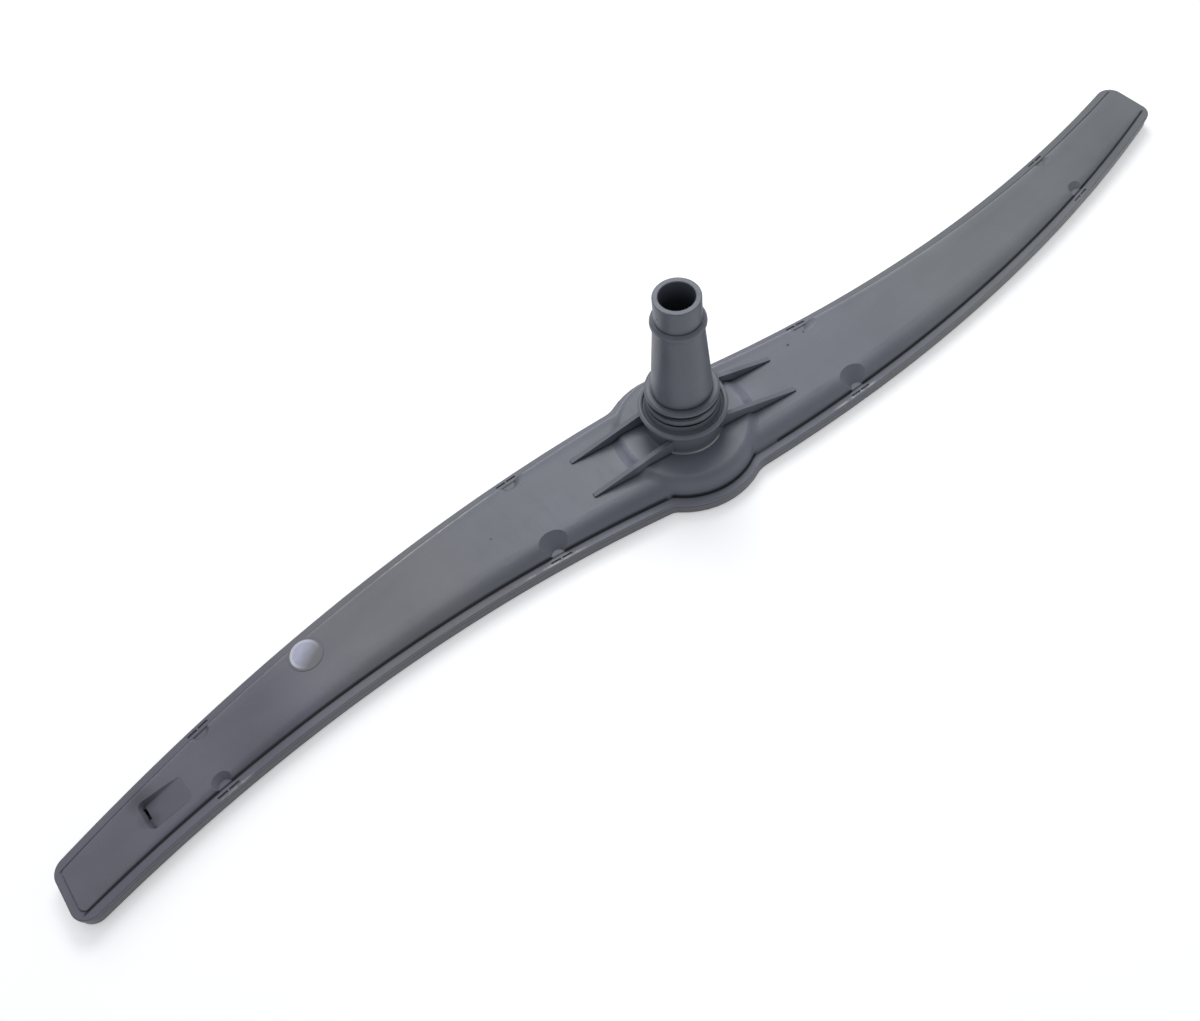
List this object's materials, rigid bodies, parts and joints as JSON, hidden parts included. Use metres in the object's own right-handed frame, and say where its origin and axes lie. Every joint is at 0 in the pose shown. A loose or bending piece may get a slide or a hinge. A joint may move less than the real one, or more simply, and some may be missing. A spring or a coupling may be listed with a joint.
{
  "type": "dishwasher spray arm",
  "caption": "Lower dishwasher spray arm: two swept hollow blades on a round hub that spins on a tapered water tube with collar and snap bead, lying on its spray face.",
  "frame": {"origin": "on the spin axis, at the surface that the arm's spray face rests on", "axes": "+Z along the spin axis, up the water tube; X from blade tip to blade tip, with the drive pocket and the label on the -X blade"},
  "size_m": [0.4804, 0.0594, 0.0772],
  "materials": {
    "arm_grey": "satin moulded",
    "tray_grey": "satin moulded",
    "tube_grey": "satin moulded",
    "ring_grey": "satin moulded",
    "washer_white": "smooth",
    "clip_steel": "spring steel",
    "label_white": "paper label"
  },
  "bodies": {
    "arm": {"hub_side_shell": "arm_grey", "nozzle_side_shell": "tray_grey", "bearing_ring": "ring_grey", "label_disc": "label_white"},
    "tube": {"feed_tube": "tube_grey", "wear_washer": "washer_white", "retaining_clip": "clip_steel"}
  },
  "joints": [
    {"name": "tube_spin", "type": "hinge", "parent": "arm", "child": "tube", "pos_m": [0, 0, 0.02], "axis": [0, 0, 1], "continuous": true}
  ]
}
